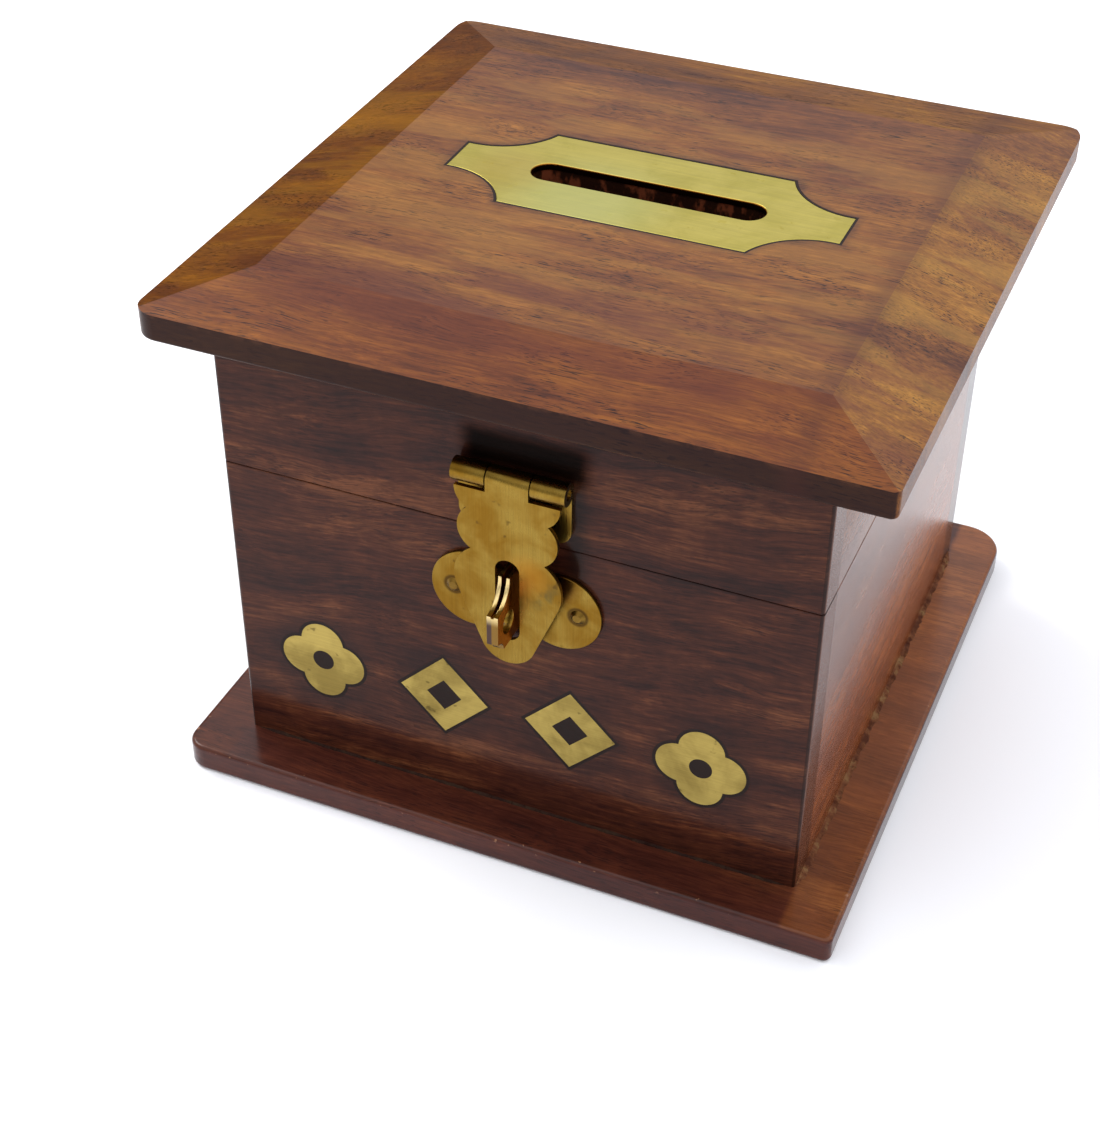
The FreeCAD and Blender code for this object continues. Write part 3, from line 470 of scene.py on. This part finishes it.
LID = (srgb(62, 28, 18), srgb(93, 50, 23), srgb(114, 68, 25), srgb(138, 88, 34))
FRONT = (srgb(28, 11, 10), srgb(50, 22, 15), srgb(67, 32, 19), srgb(96, 54, 31))
BASE = (srgb(46, 18, 13), srgb(63, 28, 19), srgb(75, 36, 22), srgb(92, 49, 28))
SIDE = (srgb(72, 36, 22), srgb(94, 50, 28), srgb(110, 62, 32), srgb(126, 76, 42))

lid_wood = wood("lid_wood", "X", LID, (0.31, 0.12, 0.05), tilt=1.5, contrast=0.92, pores=1.6,
                coat=0.8, coat_ior=1.26, paint=paint_lid, gloss=gloss_lid)
front_wood = wood("front_wood", "X", FRONT, (0.72, 0.4, 0.9), tilt=5.0, contrast=1.2, coat=0.72,
                  coat_rough=0.15, coat_ior=1.26, paint=paint_front, gloss=gloss_front)
back_wood = wood("back_wood", "X", FRONT, (1.9, 0.7, 0.2), tilt=-3.0, contrast=1.2,
                 coat_rough=0.15, coat_ior=1.26, paint=raw_inside)
side_wood = wood("side_wood", "Y", SIDE, (0.2, 1.4, 0.6), tilt=2.0, coat_rough=0.22,
                 coat_ior=1.33, paint=paint_side, gloss=gloss_side)
base_wood = wood("base_wood", "X", BASE, (0.9, 2.1, 0.1), paint=paint_base)


# ---------------------------------------------------------------- brass, steel, filler
BRUSH_MARKS = {"X": (90, 4200, 4200), "Z": (4200, 4200, 90)}


def brass(name, light, dark, spot, brushed, rough, shift=(0.0, 0.0, 0.0), spots=0.5, paint=None):
    """Worn brass: fine brush marks along one axis, cloudy tarnish and a few dark spots."""
    g = material_graph(name)
    moved = g.scaled(g.vector, 1, 1, 1, shift=shift)
    marks = g.noise(g.scaled(moved, *BRUSH_MARKS[brushed]), 1.0, 3.0, 0.6)
    cloud = g.noise(moved, 110.0, 4.0, 0.6, 0.4)
    speck = g.step(g.noise(moved, 420.0, 2.0, 0.5), 0.66, 0.76)
    base = g.mix(g.step(cloud, 0.34, 0.68), light, dark)
    tone = g.math("MULTIPLY_ADD", marks, 0.5, 0.75)
    base = g.mix(1.0, base, grey(g, tone), "MULTIPLY")
    base = tint(g, base, speck, spots, spot)
    if paint:
        base = paint(g, base)
    dull = g.math("MULTIPLY_ADD", marks, 0.16, g.math("MULTIPLY_ADD", cloud, 0.22, rough - 0.16))
    dull = g.math("MULTIPLY_ADD", speck, 0.2, dull)
    return g.surface({
        "Base Color": base, "Metallic": 1.0, "Roughness": dull,
        "Normal": g.bump(marks, 0.12, 0.00005, g.bump(cloud, 0.16, 0.0003)),
    })


def paint_plate(g, base):
    """A paler greenish patch in front of the slot, a warmer one to its left, and a painted highlight on
    the slot's walls above painted shade deep inside it.
    """
    nz = facing(g)[2]
    pale = g.step(spread_from(g, g.x, g.y, -0.008, -0.006), 0.022, 0.004)
    base = tint(g, base, pale, 0.5, srgb(176, 180, 118))
    warm = g.step(spread_from(g, g.x, g.y, -0.026, 0.0), 0.012, 0.003)
    base = tint(g, base, warm, 0.3, srgb(168, 138, 66))
    # painted highlight: the slot's walls painted bright orange, as if lit
    wall = both(g, g.step(nz, 0.75, 0.5), about(g, g.x, PLATE_X, SLOT_HALF_X + 0.0010, 0.0004),
                about(g, g.y, PLATE_Y, SLOT_HALF_Y, 0.0004))
    base = tint(g, base, wall, 0.8, srgb(214, 130, 44))
    # painted shade deep inside the slot
    slot_depth_shade = both(g, wall, g.step(g.z, LID_TOP - 0.0002, LID_TOP - 0.0004))
    return g.mix(slot_depth_shade, base, srgb(36, 18, 12))


def paint_lug(g, base):
    """Cheeks painted bright copper-orange as a painted reflection of the wood, and a nose that shows
    the two layers of the fold, the left one grey-purple as a painted reflection of shaded wood, with a
    painted highlight along its upper part.
    """
    nx, ny, _ = facing(g)
    lug = both(g, about(g, g.x, HASP_X, LUG_HALF, 0.0001), band(g, g.z, *LUG_Z, 0.0002))
    # painted reflection: copper-orange on the lug's cheeks
    cheek = both(g, lug, g.step(g.y, -0.0602, -0.0606), g.step(size_of(g, nx), 0.6, 0.8))
    base = tint(g, base, cheek, 0.85, srgb(186, 104, 22))
    nose = both(g, lug, g.step(g.y, -0.0640, -0.0643), g.step(ny, -0.3, -0.7))
    # painted reflection on the nose's left layer, and a painted highlight on its upper part
    layers = g.mix(g.step(g.x, 0.00125, 0.00145), srgb(66, 52, 56), srgb(124, 94, 48))
    return tint(g, base, nose, 0.9, g.mix(g.step(g.z, 0.0600, 0.0625), layers, srgb(226, 200, 140)))


def paint_hasp(g, base):
    """Tarnish and a painted reflection on the strap, a painted dark reflection on the barrel's crown,
    the lug, and painted shade on the staple plate beside the strap and round the nails.
    """
    strap = g.step(g.y, *STRAP_FACE)
    blot = g.step(g.noise(g.vector, 240, 3.0, 0.6), 0.42, 0.6)
    green = both(g, g.step(spread_from(g, g.x, g.z, 0.0093, 0.0640), 0.0048, 0.0010), blot, strap)
    base = tint(g, base, green, 0.7, srgb(84, 78, 46))
    # painted reflection: the barrel's top darkened where it mirrors the dark wood under the lid
    crown = both(g, g.step(g.z, 0.0868, 0.0884), g.step(g.y, -0.0585, -0.0595))
    base = tint(g, base, crown, 0.62, srgb(30, 20, 6))
    # painted reflection: an orange patch on the strap by its window
    warm = both(g, g.step(spread_from(g, g.x, g.z, 0.0055, 0.0680), 0.0060, 0.0010), strap)
    base = tint(g, base, warm, 0.4, srgb(176, 116, 34))
    base = paint_lug(g, base)
    # painted shadow of the strap on the staple's right ear
    ear_shadow_by_strap = both(g, g.step(spread_from(g, g.x, g.z, 0.0088, 0.0650), 0.0064, 0.0018),
                  g.step(g.y, -0.0606, -0.0603))
    base = tint(g, base, ear_shadow_by_strap, 0.85, srgb(84, 36, 10))
    ear = size_of(g, g.math("SUBTRACT", g.x, HASP_X))
    # painted shade: a dark ring round each nail head
    ring = band(g, spread_from(g, ear, g.z, NAIL_REACH, NAIL_Z), 0.0014, 0.0021, 0.0003)
    ring = both(g, ring, g.step(g.y, -0.0603, -0.0600))
    return tint(g, base, ring, 0.75, srgb(50, 32, 16))


plate_brass = brass("plate_brass", srgb(180, 165, 82), srgb(166, 153, 72), srgb(120, 108, 58), "X",
                    0.36, spots=0.2, paint=paint_plate)
inlay_brass = brass("inlay_brass", srgb(176, 154, 84), srgb(142, 122, 64), srgb(80, 66, 40), "X",
                    0.40, shift=(0.3, 0.1, 0.2))
hasp_brass = brass("hasp_brass", srgb(142, 115, 50), srgb(122, 88, 24), srgb(66, 48, 24), "Z",
                   0.27, paint=paint_hasp)
nail_brass = brass("nail_brass", srgb(142, 114, 50), srgb(108, 80, 32), srgb(58, 40, 22), "X", 0.32)
butt_brass = brass("butt_brass", srgb(150, 118, 56), srgb(124, 92, 40), srgb(70, 52, 28), "X", 0.34)


def plain(name, colour, second, scale, rough, metallic=0.0):
    """Two close colours in a cloud, for filler and for steel."""
    g = material_graph(name)
    cloud = g.noise(g.vector, scale, 4.0, 0.6)
    return g.surface({
        "Base Color": g.mix(cloud, colour, second), "Metallic": metallic,
        "Roughness": g.math("MULTIPLY_ADD", cloud, 0.2, rough - 0.1),
        "Normal": g.bump(cloud, 0.3, 0.0002), "Specular IOR Level": 0.2,
    })


filler_dark = plain("filler_dark", srgb(20, 11, 9), srgb(38, 22, 17), 900.0, 0.65)
steel = plain("screw_steel", srgb(150, 148, 142), srgb(104, 100, 96), 700.0, 0.36, metallic=1.0)

PAINT = {
    "lid_board": lid_wood,
    "front_wall": front_wood, "lid_front_rim": front_wood,
    "back_wall": back_wood, "lid_back_rim": back_wood,
    "left_wall": side_wood, "right_wall": side_wood,
    "lid_left_rim": side_wood, "lid_right_rim": side_wood,
    "base_board": base_wood,
    "slot_plate": plate_brass, "slot_plate_filler": filler_dark,
    "hasp_leaf": hasp_brass, "hasp_strap": hasp_brass, "hasp_pin": hasp_brass,
    "staple_plate": hasp_brass, "staple_nails": nail_brass, "hasp_leaf_nails": nail_brass,
}


def material_of(name):
    """The material of a CAD node, by its name."""
    if "inlay" in name:
        return filler_dark if name.endswith("filler") else inlay_brass
    if "screws" in name:
        return steel
    if name.startswith("hinge_"):
        return butt_brass
    return PAINT[name]


for name, obj in NODES.items():
    obj.data.materials.clear()
    obj.data.materials.append(material_of(name))

# ---------------------------------------------------------------- softened edges on the CAD nodes
SOFT_WIDTHS = {"slot_plate": 0.00020, "hasp_strap": 0.00022, "staple_plate": 0.00022}
SOFT_ANGLE = 32               # degrees; flatter edges stay as they are


def soften(obj, width):
    """Rounds a sheet part's sharp edges by a width."""
    weld = obj.modifiers.new("weld", "WELD")
    weld.merge_threshold = 0.000002
    bevel = obj.modifiers.new("soft", "BEVEL")
    bevel.width = width
    bevel.segments = 2
    bevel.limit_method = "ANGLE"
    bevel.angle_limit = math.radians(SOFT_ANGLE)
    bevel.use_clamp_overlap = True
    bevel.harden_normals = True


for name, width in SOFT_WIDTHS.items():
    soften(NODES[name], width)


# ---------------------------------------------------------------- glue beads along the base joint
def glue_material():
    """Lumpy dried glue, dark where it lies along the front wall."""
    g = material_graph("glue")
    lump = g.noise(g.vector, 330, 4.0, 0.65)
    pit = g.step(g.noise(g.vector, 900, 2.0, 0.5), 0.56, 0.66)
    base = g.ramp(lump, (0.38, srgb(74, 38, 22)), (0.52, srgb(104, 62, 38)), (0.66, srgb(126, 94, 60)))
    base = tint(g, base, pit, 0.5, srgb(56, 28, 18))
    front = g.step(g.y, 0.0004 - WALL, -WALL)
    base = tint(g, base, front, 0.9, srgb(24, 11, 8))
    return g.surface({"Base Color": base, "Roughness": g.math("MULTIPLY_ADD", pit, 0.25, 0.65),
                      "Normal": g.bump(lump, 0.6, 0.0004), "Specular IOR Level": 0.08})


glue = glue_material()

# A bead's cross-section from the wall outwards: share of its width, share of its height.
BEAD_SECTION = ((0.0, 1.0), (0.16, 0.78), (0.38, 0.56), (0.62, 0.44), (0.84, 0.24), (1.0, 0.0))
BEAD_LEAST = 0.0001           # width and height where a bead tapers out
SUNK_IN_WALL = 0.00005
SUNK_IN_BASE = 0.00002


def bead_row(axis, wall, along, wide, high, seed):
    """The points across a bead at one place along its wall."""
    outwards = 1 if wall > 0 else -1
    row = []
    for out, up in BEAD_SECTION:
        lump = 1 + 0.22 * noise.noise((along * 1400, out * 3 + seed, 2.0))
        across = wall + outwards * (wide * out * lump - SUNK_IN_WALL)
        height = BASE_TOP - SUNK_IN_BASE + high * up * lump
        row.append((across, along, height) if axis == "Y" else (along, across, height))
    return row


def bead(name, axis, wall, start, end, wide, high, seed):
    """An uneven fillet of glue on the base board against the wall face at +-wall."""
    rows = 260
    mesh = bmesh.new()
    previous = None
    for i in range(rows + 1):
        t = i / rows
        along = start + (end - start) * t
        n1 = noise.noise((along * 260, seed, 0.0))
        n2 = noise.noise((along * 900, seed + 7.0, 0.0))
        taper = min(1.0, t * 40, (1 - t) * 40)
        w = wide * (1 + 0.55 * n1 + 0.3 * n2) * taper + BEAD_LEAST
        h = high * (1 + 0.45 * n1 - 0.35 * n2) * taper + BEAD_LEAST
        row = [mesh.verts.new(point) for point in bead_row(axis, wall, along, w, h, seed)]
        if previous:
            for j in range(len(row) - 1):
                mesh.faces.new((previous[j], row[j], row[j + 1], previous[j + 1]))
        previous = row
    bmesh.ops.recalc_face_normals(mesh, faces=mesh.faces)
    data = bpy.data.meshes.new(name)
    mesh.to_mesh(data)
    mesh.free()
    for face in data.polygons:
        face.use_smooth = True
    data.materials.append(glue)
    obj = bpy.data.objects.new(name, data)
    bpy.context.scene.collection.objects.link(obj)
    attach(obj, "box")


bead("glue_right", "Y", WALL, start=-0.0580, end=0.0575, wide=0.0010, high=0.0007, seed=3.0)
bead("glue_left", "Y", -WALL, start=-0.0575, end=0.0580, wide=0.0006, high=0.0005, seed=11.0)
bead("glue_front", "X", -WALL, start=-0.0575, end=0.0570, wide=0.0004, high=0.0004, seed=19.0)
bead("glue_back", "X", WALL, start=-0.0575, end=0.0570, wide=0.0007, high=0.0006, seed=27.0)

# ---------------------------------------------------------------- floor, light, camera
REACH = 6.0
DROP = -0.0001                # the floor lies just below the base, so the two never share a plane
floor_mesh = bpy.data.meshes.new("floor")
floor_mesh.from_pydata([(-REACH, -REACH, DROP), (REACH, -REACH, DROP), (REACH, REACH, DROP),
                        (-REACH, REACH, DROP)],
                       [], [(0, 1, 2, 3)])
floor = bpy.data.objects.new("floor", floor_mesh)
bpy.context.scene.collection.objects.link(floor)
white = material_graph("floor").surface({"Base Color": (0.90, 0.90, 0.92, 1), "Roughness": 0.9,
                                         "Specular IOR Level": 0.1})
floor.data.materials.append(white)

# The sky by height, from straight down at 0 over the horizon at 0.5 to overhead at 1.
SKY = ((0.0, 0.60), (0.48, 0.60), (0.52, 0.34), (0.64, 0.34), (0.73, 0.62), (0.81, 0.95), (1.0, 1.05))
SKY_TINT = (0.97, 0.99, 1.03)
SKY_STRENGTH = 1.75
FLAG_WAY = (-0.756, 0.605, 0.252)   # a dark flag, back left, that takes the sheen off the lid


def sky():
    """A pale studio sky with a grey band above the horizon and one dark flag."""
    world = bpy.data.worlds.new("studio")
    bpy.context.scene.world = world
    g = Graph(world)
    way = g.node("ShaderNodeTexCoord").outputs["Generated"]
    rise = g.node("ShaderNodeSeparateXYZ", {"Vector": way}).outputs[2]
    rise = g.node("ShaderNodeMapRange", {"Value": rise, "From Min": -1.0}).outputs["Result"]
    glow = g.ramp(rise, *[(height, (*(level * part for part in SKY_TINT), 1))
                          for height, level in SKY])
    toward = g.node("ShaderNodeVectorMath", {0: way, 1: FLAG_WAY}, operation="DOT_PRODUCT")
    shade = g.node("ShaderNodeMapRange", {
        "Value": toward.outputs["Value"], "From Min": 0.88, "From Max": 0.965,
        "To Min": 1.0, "To Max": 0.15,
    }, interpolation_type="SMOOTHSTEP").outputs["Result"]
    glow = g.node("ShaderNodeVectorMath", {0: glow, "Scale": shade}, operation="SCALE").outputs[0]
    light = g.node("ShaderNodeBackground", {"Color": glow, "Strength": SKY_STRENGTH})
    g.node("ShaderNodeOutputWorld", {"Surface": light.outputs[0]})


def area(name, spot, target, size, power, colour):
    """A square lamp at a spot, turned toward a target."""
    lamp = bpy.data.lights.new(name, "AREA")
    lamp.shape = "RECTANGLE"
    lamp.size = size
    lamp.size_y = size
    lamp.energy = power
    lamp.color = colour
    obj = bpy.data.objects.new(name, lamp)
    obj.location = spot
    obj.rotation_euler = (Vector(target) - Vector(spot)).to_track_quat("-Z", "Y").to_euler()
    bpy.context.scene.collection.objects.link(obj)


sky()
area("key", (-1.5, 0.25, 1.6), (0, 0, 0.05), 1.0, 24.0, (1.0, 0.98, 0.95))

cam = bpy.data.cameras.new("camera")
cam.sensor_width = 36.0
cam.lens = 64.92
cam.clip_start = 0.01
camera = bpy.data.objects.new("camera", cam)
bpy.context.scene.collection.objects.link(camera)
right = Vector((0.9197, 0.3925, 0.0043))
down = Vector((0.2433, -0.5614, -0.7910))
ahead = Vector((-0.3081, 0.7286, -0.6118))
turn = Matrix((right, -down, -ahead)).transposed()
camera.matrix_world = Matrix.Translation((0.1231, -0.3312, 0.2949)) @ turn.to_4x4()
bpy.context.scene.camera = camera
bpy.context.scene.view_settings.view_transform = "Standard"
bpy.context.scene.view_settings.look = "None"
